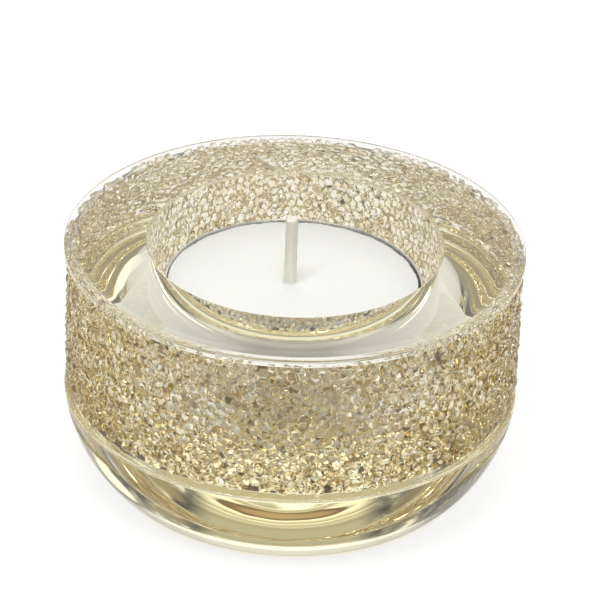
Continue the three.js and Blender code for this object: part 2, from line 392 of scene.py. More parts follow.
MIDDLE_WIDTH = 0.88
MIDDLE_HEIGHT = 0.42
shapes = []
for sides, lift, flat_top in ((6, 1.0, 1.0), (7, 0.85, 1.15), (5, 1.05, 0.85)):
    middle = times(given["Girdle"], MIDDLE_WIDTH)
    lower_height = times(given["Dome"], lift * MIDDLE_HEIGHT)
    upper_height = times(given["Dome"], lift * (1 - MIDDLE_HEIGHT))
    lower = frustum(sides, middle, given["Girdle"], lower_height)
    upper = frustum(sides, times(given["Top"], flat_top), middle, upper_height)
    back = frustum(sides, given["Table"], given["Girdle"], given["Back"])
    lift_up = g.add("ShaderNodeCombineXYZ", {2: lower_height}).outputs[0]
    cap = g.add("GeometryNodeTransform", {"Geometry": opened(upper, ["Bottom"]), "Translation": lift_up})
    seat = g.add("GeometryNodeTransform", {"Geometry": opened(back, ["Bottom"]), "Rotation": (math.pi, 0, 0)})
    joined = g.add("GeometryNodeJoinGeometry")
    stone_tree.links.new(marked(opened(lower, ["Top", "Bottom"]), 1.0), joined.inputs[0])
    stone_tree.links.new(marked(cap.outputs[0], 1.0), joined.inputs[0])
    stone_tree.links.new(marked(seat.outputs[0], 0.0), joined.inputs[0])
    merged = g.add("GeometryNodeMergeByDistance", {"Geometry": joined.outputs[0], "Distance": 0.01 * MM})
    shapes.append(g.add("GeometryNodeGeometryToInstance", {"Geometry": merged.outputs[0]}).outputs[0])
variants = g.add("GeometryNodeJoinGeometry")
for shape in shapes:
    stone_tree.links.new(shape, variants.inputs[0])
outwards = g.add("GeometryNodeInputNamedAttribute", {"Name": "outwards"}, data_type="FLOAT_VECTOR")
facing = g.add("FunctionNodeAlignRotationToVector", {"Vector": outwards.outputs[0]}, axis="Z")
low_tilt = times(given["Tilt"], -1.0)
lowest = g.add("ShaderNodeCombineXYZ", {0: low_tilt, 1: low_tilt, 2: 0.0}).outputs[0]
highest = g.add("ShaderNodeCombineXYZ", {0: given["Tilt"], 1: given["Tilt"], 2: 2 * math.pi}).outputs[0]
lean_range = {"Min": lowest, "Max": highest, "Seed": given["Seed"]}
lean = g.add("FunctionNodeRandomValue", lean_range, data_type="FLOAT_VECTOR")
lean_turn = g.add("FunctionNodeEulerToRotation", {0: lean.outputs["Value"]})
spun = g.add(
    "FunctionNodeRotateRotation",
    {"Rotation": facing.outputs[0], "Rotate By": lean_turn.outputs[0]},
    rotation_space="LOCAL",
)
size = g.add(
    "FunctionNodeRandomValue",
    {"Min": (0.84, 0.84, 0.7), "Max": (1.16, 1.16, 1.15), "Seed": given["Seed"]},
    data_type="FLOAT_VECTOR",
)
choice = g.add("FunctionNodeRandomValue", {"Seed": given["Seed"]}, data_type="INT")
choice.inputs[4].default_value = 0
choice.inputs[5].default_value = 2
placed = g.add(
    "GeometryNodeInstanceOnPoints",
    {
        "Points": given["Geometry"],
        "Instance": variants.outputs[0],
        "Pick Instance": True,
        "Instance Index": choice.outputs[2],
        "Rotation": spun.outputs[0],
        "Scale": size.outputs["Value"],
    },
)
shade = g.add("FunctionNodeRandomValue", {"Seed": given["Seed"]}, data_type="FLOAT")
tinted = g.add(
    "GeometryNodeStoreNamedAttribute",
    {"Geometry": placed.outputs[0], "Name": "stone_tone", "Value": shade.outputs[1]},
    data_type="FLOAT",
    domain="INSTANCE",
)
real = g.add("GeometryNodeRealizeInstances", {"Geometry": tinted.outputs[0]})
spot = g.add("GeometryNodeInputPosition").outputs[0]
uneven = g.add("ShaderNodeTexNoise", {"Vector": spot, "Scale": 1400.0, "Detail": 0.0}).outputs["Color"]
centred = g.add("ShaderNodeVectorMath", {0: uneven, 1: (0.5, 0.5, 0.5)}, operation="SUBTRACT").outputs[0]
chip = g.add("ShaderNodeVectorMath", {0: centred, "Scale": given["Chip"]}, operation="SCALE").outputs[0]
chipped = g.add("GeometryNodeSetPosition", {"Geometry": real.outputs[0], "Offset": chip})
# A random tone per facet: partly the coating's own variation, partly painted glints and painted dark facets.
facet_tint_and_glint_draw = g.add("FunctionNodeRandomValue", {"Seed": given["Seed"]}, data_type="FLOAT")
with_facet_tint_and_glint = g.add(
    "GeometryNodeStoreNamedAttribute",
    {"Geometry": chipped.outputs[0], "Name": "facet_tint_and_painted_glint", "Value": facet_tint_and_glint_draw.outputs[1]},
    data_type="FLOAT",
    domain="FACE",
)
flat = g.add("GeometryNodeSetShadeSmooth", {"Geometry": with_facet_tint_and_glint.outputs[0], "Shade Smooth": False})
dressed = g.add("GeometryNodeSetMaterial", {"Geometry": flat.outputs[0], "Material": given["Material"]})
g.add("NodeGroupOutput", {"Geometry": dressed.outputs[0]})

champagne = bpy.data.materials.new("champagne_stone")
champagne.use_nodes = True
nodes, links = champagne.node_tree.nodes, champagne.node_tree.links
stone_tone = nodes.new("ShaderNodeAttribute")
stone_tone.attribute_name = "stone_tone"
facet_tint_and_painted_glint = nodes.new("ShaderNodeAttribute")
facet_tint_and_painted_glint.attribute_name = "facet_tint_and_painted_glint"
cut_facet = nodes.new("ShaderNodeAttribute")
cut_facet.attribute_name = "cut_facet"
# Each facet's colour mixes a random tone per stone, the coating's own champagne, with a random tone per facet
# from dark brown to white; the light and dark facets are painted glints and painted dark facets in place of
# the cut's sparkle.
blend = nodes.new("ShaderNodeMix")
blend.inputs[0].default_value = 0.6
links.new(stone_tone.outputs["Fac"], blend.inputs[2])
links.new(facet_tint_and_painted_glint.outputs["Fac"], blend.inputs[3])
tone = nodes.new("ShaderNodeValToRGB")
ramp = tone.color_ramp
ramp.elements[0].position = 0.12
ramp.elements[0].color = (0.28, 0.17, 0.08, 1)
ramp.elements[1].position = 0.79
ramp.elements[1].color = (1, 1, 0.98, 1)
for position, colour in (
    (0.27, (0.60, 0.45, 0.265, 1)),
    (0.39, (0.87, 0.765, 0.54, 1)),
    (0.52, (0.87, 0.82, 0.67, 1)),
    (0.63, (0.98, 0.93, 0.82, 1)),
    (0.72, (1.0, 0.985, 0.94, 1)),
):
    ramp.elements.new(position).color = colour
links.new(blend.outputs[0], tone.inputs["Fac"])
surface = nodes["Principled BSDF"]
links.new(tone.outputs["Color"], surface.inputs["Base Color"])
links.new(cut_facet.outputs["Fac"], surface.inputs["Alpha"])
surface.inputs["Roughness"].default_value = 0.02
surface.inputs["Transmission Weight"].default_value = 1
surface.inputs["IOR"].default_value = STONE_INDEX

course_height = (stone_high - stone_low) / COURSES
course_of = np.minimum(((stone_heights - stone_low) / course_height).astype(int), COURSES - 1)
for course in range(COURSES):
    mine = course_of == course
    across, up = np.cos(stone_angles[mine]), np.sin(stone_angles[mine])
    outward = np.stack((across, up, np.zeros_like(up)), axis=1)
    spots = outward * stone_seats[mine][:, None]
    spots[:, 2] = stone_heights[mine]
    name = f"stone_course_{course + 1:02d}"
    seeds = bpy.data.meshes.new(name + "_places")
    seeds.from_pydata(spots.tolist(), [], [])
    seeds.attributes.new("outwards", "FLOAT_VECTOR", "POINT").data.foreach_set("vector", outward.ravel())
    holder_of_points = bpy.data.objects.new(name + "_places", seeds)
    bpy.context.scene.collection.objects.link(holder_of_points)
    setting = holder_of_points.modifiers.new("stones", "NODES")
    setting.node_group = stone_tree
    for label, value in (
        ("Girdle", STONE_GIRDLE),
        ("Dome", STONE_DOME),
        ("Top", STONE_TOP),
        ("Back", STONE_BACK),
        ("Table", STONE_TABLE),
        ("Tilt", STONE_TILT),
        ("Chip", STONE_CHIP),
        ("Seed", STONE_SEED + course),
        ("Material", champagne),
    ):
        setting[stone_inputs[label]] = value
    evaluated = holder_of_points.evaluated_get(bpy.context.evaluated_depsgraph_get())
    stones = bpy.data.objects.new(name, bpy.data.meshes.new_from_object(evaluated))
    bpy.context.scene.collection.objects.link(stones)
    bpy.data.objects.remove(holder_of_points)
    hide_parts(f"crystal_course_{course + 1:02d}")
    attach(stones, "holder")


# Carrier film: the thin sheet of resin that the stones were poured into. It is clear where a stone sits in
# it, and golden-brown, in darker and lighter patches, in the gaps between the stones.
RESIN_INNER = 33.84 * MM
RESIN_OUTER = 33.94 * MM
RESIN_ROWS = 66
RESIN_SEGMENTS = 600
CREASE_START = 0.78 * MM
CREASE_FULL = 1.1 * MM
RESIN_START = 0.4 * MM
resin_low = band_low + RESIN_START
carrier = sleeve(
    "carrier_resin", RESIN_INNER, RESIN_OUTER, resin_low, film_high.z, RESIN_ROWS, RESIN_SEGMENTS
)
near_stone = kdtree.KDTree(STONE_COUNT)
for k in range(STONE_COUNT):
    a = stone_angles[k]
    near_stone.insert((STONE_SEAT * math.cos(a), STONE_SEAT * math.sin(a), stone_heights[k]), k)
near_stone.balance()
crease = []
for vertex in carrier.data.vertices:
    on_seat = Vector((vertex.co.x, vertex.co.y, 0)).normalized() * STONE_SEAT
    on_seat.z = vertex.co.z
    far = near_stone.find(on_seat)[2]
    u = min(max((far - CREASE_START) / (CREASE_FULL - CREASE_START), 0), 1)
    crease.append(u * u * (3 - 2 * u))
carrier.data.attributes.new("crease", "FLOAT", "POINT").data.foreach_set("value", crease)
resin = bpy.data.materials.new("warm_resin")
resin.use_nodes = True
nodes, links = resin.node_tree.nodes, resin.node_tree.links
place = nodes.new("ShaderNodeTexCoord")
cloud = nodes.new("ShaderNodeTexNoise")
cloud.inputs["Scale"].default_value = 700
links.new(place.outputs["Object"], cloud.inputs["Vector"])
brown, golden = (0.35, (0.20, 0.13, 0.06, 1)), (0.7, (0.50, 0.39, 0.23, 1))
surface = nodes["Principled BSDF"]
links.new(two_tone(resin, cloud.outputs["Fac"], brown, golden), surface.inputs["Base Color"])
surface.inputs["Roughness"].default_value = 0.25
bed = nodes.new("ShaderNodeAttribute")
bed.attribute_name = "crease"
links.new(bed.outputs["Fac"], surface.inputs["Alpha"])
carrier.data.materials.append(resin)
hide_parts("carrier_film")
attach(carrier, "holder")


# Tealight cup: pressed from thin bright aluminium, with a small bead at its cut rim, which is a little
# uneven. It stands loose on the floor of the well.
cup_low, cup_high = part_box("tealight_cup")
cup_radius = cup_high.x
CUP_WALL = 0.18 * MM
CUP_BEAD = 0.18 * MM
CUP_CORNER = 1.2 * MM
CUP_COLLAR = 1.2 * MM
CUP_SEGMENTS = 240
RIM_UNEVEN = 0.22 * MM
FLUTE_COUNT = 60
FLUTE_DEPTH = 0.04 * MM


def round_noise(waves, seed, segments):
    """Smooth random numbers from -1 to 1 round a ring, with about that many waves."""
    reach = waves / (2 * math.pi)
    turn = 2 * math.pi * np.arange(segments) / segments
    return np.array([noise.noise(Vector((reach * math.cos(a), reach * math.sin(a), seed))) for a in turn])


wall_out = cup_radius - CUP_BEAD
cup_profile = [(0, cup_low.z + CUP_WALL, 0, 1)]
cup_profile += arc(
    (wall_out - CUP_CORNER, cup_low.z + CUP_CORNER), CUP_CORNER - CUP_WALL, -90, 0, 6, hollow=True
)
cup_profile += [(wall_out - CUP_WALL, cup_high.z - CUP_COLLAR, -1, 0)]
bead = 1.15 * CUP_BEAD
cup_profile += arc((cup_radius - bead, cup_high.z - bead), bead, 180, -60, 12)
cup_profile += [(wall_out, cup_high.z - 0.7 * MM, 1, 0), (wall_out, cup_high.z - CUP_COLLAR, 1, 0)]
cup_profile += arc((wall_out - CUP_CORNER, cup_low.z + CUP_CORNER), CUP_CORNER, 0, -90, 8)
cup_profile += [(0, cup_low.z, 0, -1)]
waves = 0.5 * round_noise(26, 3, CUP_SEGMENTS)
nicks = 0.5 * np.abs(round_noise(70, 8, CUP_SEGMENTS))
dents = RIM_UNEVEN * (0.5 + waves + nicks)
flutes = FLUTE_DEPTH * (1 - np.cos(FLUTE_COUNT * 2 * math.pi * np.arange(CUP_SEGMENTS) / CUP_SEGMENTS)) / 2
cup_rings = []
for r, z, _, _ in cup_profile:
    if r < 1e-9:
        cup_rings.append(ring(0, z, 1))
        continue
    near_rim = min(max((z - cup_high.z + CUP_COLLAR) / (0.9 * MM), 0), 1)
    on_wall = 1 if r > wall_out - 0.3 * MM else 0
    cup_rings.append(ring(r - on_wall * (1 - near_rim) * flutes, z - near_rim * dents, CUP_SEGMENTS))
cup, _ = skinned("tealight_cup_pressed", cup_rings, CUP_SEGMENTS)
cup.data.set_sharp_from_angle(angle=math.radians(50))
aluminium = bpy.data.materials.new("pressed_aluminium")
aluminium.use_nodes = True
nodes, links = aluminium.node_tree.nodes, aluminium.node_tree.links
surface = nodes["Principled BSDF"]
place = nodes.new("ShaderNodeTexCoord")
drawn = nodes.new("ShaderNodeMapping")
drawn.inputs["Scale"].default_value = (2600, 2600, 90)
links.new(place.outputs["Object"], drawn.inputs["Vector"])
scratch = nodes.new("ShaderNodeTexNoise")
scratch.inputs["Scale"].default_value = 1
scratch.inputs["Detail"].default_value = 3
links.new(drawn.outputs[0], scratch.inputs["Vector"])
dull, bright = (0.3, (0.77, 0.76, 0.74, 1)), (0.7, (0.90, 0.895, 0.88, 1))
links.new(two_tone(aluminium, scratch.outputs["Fac"], dull, bright), surface.inputs["Base Color"])
gloss = nodes.new("ShaderNodeMapRange")
gloss.inputs["To Min"].default_value = 0.18
gloss.inputs["To Max"].default_value = 0.4
links.new(scratch.outputs["Fac"], gloss.inputs["Value"])
links.new(gloss.outputs[0], surface.inputs["Roughness"])
surface.inputs["Metallic"].default_value = 1
cup.data.materials.append(aluminium)
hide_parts("tealight_cup")
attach(cup, "cup")


# Wick sustainer: a small tinned steel disc with a crimped collar that holds the wick upright. The wax is cast
# round it, so only its underside ever shows.
tinned = bpy.data.materials.new("tinned_plate")
tinned.use_nodes = True
nodes, links = tinned.node_tree.nodes, tinned.node_tree.links
surface = nodes["Principled BSDF"]
place = nodes.new("ShaderNodeTexCoord")
grains = nodes.new("ShaderNodeTexVoronoi")
grains.inputs["Scale"].default_value = 900
links.new(place.outputs["Object"], grains.inputs["Vector"])
grey, silver = (0, (0.50, 0.51, 0.52, 1)), (1, (0.74, 0.75, 0.76, 1))
links.new(two_tone(tinned, grains.outputs["Color"], grey, silver), surface.inputs["Base Color"])
surface.inputs["Metallic"].default_value = 1
surface.inputs["Roughness"].default_value = 0.35
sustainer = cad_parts["wick_sustainer"]
sustainer.data.materials.clear()
sustainer.data.materials.append(tinned)


# Wick: a flat-braided cotton cord stiffened with wax, cut off straight at the top. It stands a little off the
# middle of the candle.
wick_low, wick_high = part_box("wick")
wick_middle = (wick_low.x + wick_high.x) / 2
WICK_RADIUS = 1.0 * MM
WICK_TIP_RADIUS = 0.92 * MM
WICK_SIDES = 36
WICK_ROWS = 170
BRAID_PITCH = 2.6 * MM
BRAID_STRANDS = 3
BRAID_DEPTH = 0.025
WICK_FLATTEN = 0.04
WICK_TIP_SLOPE = 0.22 * MM
WICK_TIP_FRAY = 0.12 * MM
WICK_FOOT = 0.3 * MM
turn = 2 * math.pi * np.arange(WICK_SIDES) / WICK_SIDES
tip_slope = WICK_TIP_SLOPE * np.cos(turn - 0.6) + WICK_TIP_FRAY * round_noise(9, 21, WICK_SIDES)
wick_rings = [ring(0, wick_high.z - 0.45 * MM, 1, wick_middle)]
for share, drop in ((0.4, 0.36 * MM), (0.75, 0.32 * MM)):
    level = wick_high.z - drop + 0.5 * tip_slope - 0.1 * MM
    wick_rings.append(ring(share * WICK_TIP_RADIUS, level, WICK_SIDES, wick_middle))
for k in range(WICK_ROWS + 1):
    u = k / WICK_ROWS
    z = wick_high.z + (wick_low.z + WICK_FOOT - wick_high.z) * u
    phase = 2 * math.pi * z / BRAID_PITCH
    over = np.maximum(np.cos(BRAID_STRANDS * turn + phase), np.cos(BRAID_STRANDS * turn - phase))
    groove = -0.07 * np.exp(-((np.mod(turn - 4.1 + math.pi, 2 * math.pi) - math.pi) / 0.22) ** 2)
    wide = WICK_TIP_RADIUS + (WICK_RADIUS - WICK_TIP_RADIUS) * u
    wide = wide * (1 - BRAID_DEPTH + BRAID_DEPTH * over + groove + WICK_FLATTEN * np.cos(2 * turn - 0.9))
    tuck = max(0, 1 - (wick_high.z - z) / (0.35 * MM))
    fade = math.exp(-(wick_high.z - z) / (0.8 * MM))
    level = z - 0.28 * MM * fade + tip_slope * fade
    wick_rings.append(ring(wide * (1 - 0.12 * tuck), level, WICK_SIDES, wick_middle))
wick_rings.append(ring(0, wick_low.z + WICK_FOOT, 1, wick_middle))
wick, _ = skinned("wick_braided", wick_rings, WICK_SIDES)
cotton = bpy.data.materials.new("waxed_cotton")
cotton.use_nodes = True
nodes, links = cotton.node_tree.nodes, cotton.node_tree.links
surface = nodes["Principled BSDF"]
place = nodes.new("ShaderNodeTexCoord")
spun_fibre = nodes.new("ShaderNodeMapping")
spun_fibre.inputs["Scale"].default_value = (3200, 3200, 260)
links.new(place.outputs["Object"], spun_fibre.inputs["Vector"])
fibres = nodes.new("ShaderNodeTexNoise")
fibres.inputs["Scale"].default_value = 1
fibres.inputs["Detail"].default_value = 4
links.new(spun_fibre.outputs[0], fibres.inputs["Vector"])
deep, pale = (0.3, (0.87, 0.85, 0.75, 1)), (0.7, (0.95, 0.945, 0.89, 1))
links.new(two_tone(cotton, fibres.outputs["Fac"], deep, pale), surface.inputs["Base Color"])
lint = nodes.new("ShaderNodeBump")
lint.inputs["Strength"].default_value = 0.25
lint.inputs["Distance"].default_value = 0.05 * MM
links.new(fibres.outputs["Fac"], lint.inputs["Height"])
links.new(lint.outputs[0], surface.inputs["Normal"])
surface.inputs["Roughness"].default_value = 0.6
surface.inputs["Subsurface Weight"].default_value = 0.3
surface.inputs["Subsurface Radius"].default_value = (0.6 * MM, 0.5 * MM, 0.35 * MM)
surface.inputs["Subsurface Scale"].default_value = 1
wick.data.materials.append(cotton)
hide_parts("wick")
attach(wick, "candle")


# Candle wax: white paraffin cast round the wick and the sustainer. Its top dips a little, climbs the wick
# and breaks off unevenly at the wall of the cup.
wax_low, wax_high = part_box("candle_wax")
WAX_SEGMENTS = 240
WAX_EDGE_RADIUS = wax_high.x
WAX_BITE = 0.42 * MM
WAX_SHIFT = -0.1 * MM
WAX_DIP = 0.12 * MM
WAX_CLIMB = 0.75 * MM
WAX_CORNER = 1.1 * MM
PLATE_ROOM = 6.3 * MM
PLATE_ROOM_TOP = wax_low.z + 0.7 * MM
COLLAR_ROOM = 1.85 * MM
COLLAR_ROOM_TOP = wax_low.z + 3.7 * MM
WICK_BORE = 0.7 * MM
bites = np.clip(np.abs(round_noise(90, 5, WAX_SEGMENTS)) - 0.12, 0, None)
bites += np.clip(np.abs(round_noise(34, 6, WAX_SEGMENTS)) - 0.2, 0, None)
edge_radius = WAX_EDGE_RADIUS - WAX_BITE * bites
turn = 2 * math.pi * np.arange(WAX_SEGMENTS) / WAX_SEGMENTS
edge_x, edge_y = WAX_SHIFT + edge_radius * np.cos(turn), edge_radius * np.sin(turn)


def wax_loop(share, heights):
    """A ring of the wax, share of the way from the wick's bore out to the uneven edge."""
    bore = ring(WICK_BORE, 0, WAX_SEGMENTS, wick_middle)
    x = bore[:, 0] + share * (edge_x - bore[:, 0])
    y = bore[:, 1] + share * (edge_y - bore[:, 1])
    return np.stack((x, y, np.broadcast_to(heights, WAX_SEGMENTS)), axis=1)


wax_rings = []
shares = [0, 0.008, 0.016, 0.026, 0.038, 0.052, 0.07, 0.09, 0.12, 0.16, 0.22]
shares += [0.3, 0.4, 0.5, 0.6, 0.7, 0.8, 0.88, 0.93, 0.96, 0.98, 0.99, 0.996]
for share in shares:
    loop = wax_loop(share, 0)
    out = np.hypot(loop[:, 0] - wick_middle, loop[:, 1])
    ripple = np.array([noise.noise(Vector((x, y, 0)) * 160) for x, y, _ in loop])
    ripple += 0.5 * np.array([noise.noise(Vector((x, y, 3 * MM)) * 420) for x, y, _ in loop])
    lean = 0.5 + 0.5 * np.cos(np.arctan2(loop[:, 1], loop[:, 0] - wick_middle) + 0.5)
    climb = WAX_CLIMB * np.exp(-(out - WICK_BORE) / ((0.35 + 0.45 * lean) * MM))
    edge_roll = 0.10 * MM * max(0, (share - 0.9) / 0.1) ** 2
    dip = WAX_DIP * (1 - share ** 2)
    loop[:, 2] = wax_high.z - 0.06 * MM - dip + climb + edge_roll + 0.03 * MM * ripple
    wax_rings.append(loop)
chips = 0.25 * MM * np.clip(round_noise(60, 15, WAX_SEGMENTS) - 0.15, 0, None)
wax_rings.append(wax_loop(1, wax_high.z - 0.16 * MM - chips))
wax_rings.append(wax_loop(1, wax_high.z - 0.9 * MM))
plain_edge = WAX_EDGE_RADIUS - 0.05 * MM
for radius, height in ((plain_edge, wax_high.z - 2 * MM), (plain_edge, wax_low.z + WAX_CORNER)):
    wax_rings.append(ring(radius, height, WAX_SEGMENTS))
for angle in (30, 60, 90):
    a = math.radians(angle)
    radius = plain_edge - WAX_CORNER * (1 - math.cos(a))
    height = wax_low.z + WAX_CORNER * (1 - math.sin(a))
    wax_rings.append(ring(radius, height, WAX_SEGMENTS))
for radius, height in (
    (PLATE_ROOM, wax_low.z),
    (PLATE_ROOM, PLATE_ROOM_TOP),
    (COLLAR_ROOM, PLATE_ROOM_TOP),
    (COLLAR_ROOM, COLLAR_ROOM_TOP),
    (WICK_BORE, COLLAR_ROOM_TOP),
):
    wax_rings.append(ring(radius, height, WAX_SEGMENTS, wick_middle))
wax_rings.append(wax_rings[0])
wax, _ = skinned("candle_wax_cast", wax_rings, WAX_SEGMENTS)
wax.data.set_sharp_from_angle(angle=math.radians(50))
paraffin = bpy.data.materials.new("white_paraffin")
paraffin.use_nodes = True
nodes, links = paraffin.node_tree.nodes, paraffin.node_tree.links
surface = nodes["Principled BSDF"]
place = nodes.new("ShaderNodeTexCoord")
frost = nodes.new("ShaderNodeTexNoise")
frost.inputs["Scale"].default_value = 260
frost.inputs["Detail"].default_value = 5
links.new(place.outputs["Object"], frost.inputs["Vector"])
milky, white = (0.3, (0.925, 0.96, 0.93, 1)), (0.7, (0.955, 0.985, 0.96, 1))
links.new(two_tone(paraffin, frost.outputs["Fac"], milky, white), surface.inputs["Base Color"])
sweat = nodes.new("ShaderNodeBump")
sweat.inputs["Strength"].default_value = 0.12
sweat.inputs["Distance"].default_value = 0.1 * MM
links.new(frost.outputs["Fac"], sweat.inputs["Height"])
links.new(sweat.outputs[0], surface.inputs["Normal"])
surface.inputs["Roughness"].default_value = 0.5
surface.inputs["Subsurface Weight"].default_value = 0.35
surface.inputs["Subsurface Radius"].default_value = (1.5 * MM, 1.4 * MM, 1.1 * MM)
surface.inputs["Subsurface Scale"].default_value = 1
wax.data.materials.append(paraffin)
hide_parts("candle_wax")
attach(wax, "candle")


# Floor: a wide pale table top that keeps a faint shadow of the holder and is near white to the camera. Seen
# through the glass it has painted shade, darker in front and in a painted shadow ring round the holder, and a
# painted warm glow under the foot that stands in for light the crystal gathers there.
FLOOR_DROP = 0.05 * MM
FLOOR_GLOW = 0.80
GLOW_IN_GLASS = 0.68
PAINTED_SHADE_GLOW = 0.06
PAINTED_GLOW_UNDER_FOOT = 0.5
SHADOW_RADIUS = 38 * MM
SHADOW_CORE = 0.6 * MM
SHADOW_WIDTH = 2.6 * MM
SHADED_MIDDLE = (0, -38 * MM, 0)
SHADED_INSIDE = 12 * MM
SHADED_OUTSIDE = 56 * MM
WARM_RADIUS = 26 * MM
WARM_EDGE = 28 * MM
WARM_NEAR = 24 * MM
WARM_FAR = 48 * MM
PAINTED_WARM_GLOW = (1, 0.86, 0.46, 1)
WHITE = (1, 1, 1, 1)
bpy.ops.mesh.primitive_circle_add(vertices=96, radius=6, fill_type="NGON", location=(0, 0, -FLOOR_DROP))
floor = bpy.context.object
floor.name = "table_top"
table = bpy.data.materials.new("pale_table")
table.use_nodes = True
nodes, links = table.node_tree.nodes, table.node_tree.links
nodes.remove(nodes["Principled BSDF"])
t = Tree(table.node_tree)
matt = t.add("ShaderNodeBsdfDiffuse", {"Color": (0.3, 0.3, 0.3, 1)})
path = t.add("ShaderNodeLightPath").outputs


def reckoned(operation, *values):
    """The outcome of a sum on numbers or sockets."""
    return t.add("ShaderNodeMath", dict(enumerate(values)), operation=operation).outputs[0]


def between(value, low, high, low_level=0.0, high_level=1.0):
    """A straight rise from one level to another while the value goes from low to high."""
    limits = {"From Min": low, "From Max": high, "To Min": low_level, "To Max": high_level}
    return t.add("ShaderNodeMapRange", {"Value": value, **limits}).outputs[0]


# Painted shade: seen in the glass, the floor's glow is lowered round a spot in front and in a ring round the
# holder, in place of the holder's shadow.
in_glass = reckoned("MAXIMUM", path["Is Glossy Ray"], path["Is Transmission Ray"])
place = t.add("ShaderNodeTexCoord").outputs["Object"]
to_front = t.add("ShaderNodeVectorMath", {0: place, 1: SHADED_MIDDLE}, operation="DISTANCE").outputs["Value"]
painted_front_shade = between(to_front, SHADED_INSIDE, SHADED_OUTSIDE, PAINTED_SHADE_GLOW, GLOW_IN_GLASS)
from_axis = t.add("ShaderNodeVectorMath", {0: place}, operation="LENGTH").outputs["Value"]
beside_ring = reckoned("ABSOLUTE", reckoned("SUBTRACT", from_axis, SHADOW_RADIUS))
painted_shade = reckoned("MULTIPLY", painted_front_shade, between(beside_ring, SHADOW_CORE, SHADOW_WIDTH))
# Painted light: a warm glow on the floor under the foot, seen only in the glass, in place of light the
# crystal gathers there.
past_foot = between(from_axis, WARM_RADIUS, WARM_EDGE)
plain = reckoned("MAXIMUM", past_foot, between(to_front, WARM_NEAR, WARM_FAR))
painted_glow_level = t.add("ShaderNodeMix", {0: plain, 2: PAINTED_GLOW_UNDER_FOOT, 3: painted_shade}).outputs[0]
painted_warmth = t.add("ShaderNodeMix", {0: plain, 6: PAINTED_WARM_GLOW, 7: WHITE}, data_type="RGBA").outputs[2]
painted_glow_in_glass = reckoned("MULTIPLY", in_glass, painted_glow_level)
strength = reckoned("MULTIPLY_ADD", path["Is Camera Ray"], FLOOR_GLOW, painted_glow_in_glass)
glow = t.add("ShaderNodeEmission", {"Color": painted_warmth, "Strength": strength})
both = t.add("ShaderNodeAddShader", {0: matt.outputs[0], 1: glow.outputs[0]})
links.new(both.outputs[0], nodes["Material Output"].inputs["Surface"])
floor.data.materials.append(table)


# Light: a studio with a bright window behind, a dim room at the sides and a banded ceiling, which show as
# streaks in the crystal, two small lamps for the glints and one soft box overhead. The camera sees white.
world = bpy.data.worlds.new("studio")
bpy.context.scene.world = world
world.use_nodes = True
nodes, links = world.node_tree.nodes, world.node_tree.links
w = Tree(world.node_tree)
direction = w.add("ShaderNodeTexCoord").outputs["Generated"]


def bearing(azimuth, elevation):
    """The direction at that many degrees right of the camera's side and above the table."""
    a, e = math.radians(azimuth), math.radians(elevation)
    return Vector((math.sin(a) * math.cos(e), -math.cos(a) * math.cos(e), math.sin(e)))


def eased(value, low, high):
    """A smooth step from 0 at low to 1 at high."""
    node = w.add("ShaderNodeMapRange", {"Value": value, "From Min": low, "From Max": high})
    node.interpolation_type = "SMOOTHSTEP"
    return node.outputs[0]


def blended(share, first, second):
    """The first colour where the share is 0 and the second where it is 1."""
    return w.add("ShaderNodeMix", {0: share, 6: first, 7: second}, data_type="RGBA").outputs[2]


def lobe(azimuth, elevation, inner, outer, previous, colour):
    """Blends a soft round patch over the sky, full inside one angle from its middle, gone at the other."""
    middle = {0: direction, 1: bearing(azimuth, elevation)}
    towards = w.add("ShaderNodeVectorMath", middle, operation="DOT_PRODUCT").outputs["Value"]
    share = eased(towards, math.cos(math.radians(outer)), math.cos(math.radians(inner)))
    return blended(share, previous, colour)


def sum_of(first, factor, second):
    """The first value times a plain factor, plus the second."""
    return w.add("ShaderNodeMath", {0: first, 1: factor, 2: second}, operation="MULTIPLY_ADD").outputs[0]


def sky_ramp(value, stops):
    """A colour ramp over a value, from its first stop to its last."""
    low, high = stops[0][0], stops[-1][0]
    share = w.add("ShaderNodeMapRange", {"Value": value, "From Min": low, "From Max": high}).outputs[0]
    node = w.add("ShaderNodeValToRGB", {"Fac": share})
    elements = node.color_ramp.elements
    elements[0].position, elements[0].color = 0, (*stops[0][1], 1)
    elements[1].position, elements[1].color = 1, (*stops[-1][1], 1)
    for at, colour in stops[1:-1]:
        elements.new((at - low) / (high - low)).color = (*colour, 1)
    return node.outputs["Color"]


axes = w.add("ShaderNodeSeparateXYZ", {0: direction}).outputs
OVAL_WIDTH = 0.36
OVAL_DEPTH = 0.065
OVAL_FORWARD = 0.34
OVAL_WANDER = 0.8
across = w.add("ShaderNodeMath", {0: axes["X"], 1: 1 / OVAL_WIDTH}, operation="MULTIPLY").outputs[0]
forward = sum_of(axes["Y"], 1 / OVAL_DEPTH, OVAL_FORWARD / OVAL_DEPTH)
oval = w.add("ShaderNodeCombineXYZ", {0: across, 1: forward}).outputs[0]
from_middle = w.add("ShaderNodeVectorMath", {0: oval}, operation="LENGTH").outputs["Value"]
wander = w.add("ShaderNodeTexNoise", {"Vector": direction, "Scale": 6.0, "Detail": 1.0}).outputs["Fac"]
overhead = sky_ramp(
    sum_of(wander, OVAL_WANDER, from_middle),
    (
        (0.4, (0.60, 0.44, 0.25)),
        (0.9, (0.50, 0.35, 0.19)),
        (1.15, (0.22, 0.15, 0.08)),
        (1.3, (0.24, 0.17, 0.10)),
        (1.42, (1.30, 1.25, 1.04)),
        (1.8, (0.98, 0.92, 0.72)),
        (2.1, (0.42, 0.35, 0.22)),
        (2.25, (1.15, 1.10, 0.90)),
        (2.9, (0.60, 0.55, 0.40)),
        (3.4, (0.80, 0.76, 0.60)),
        (4.2, (0.46, 0.43, 0.33)),
        (5.4, (0.56, 0.53, 0.42)),
    ),
)
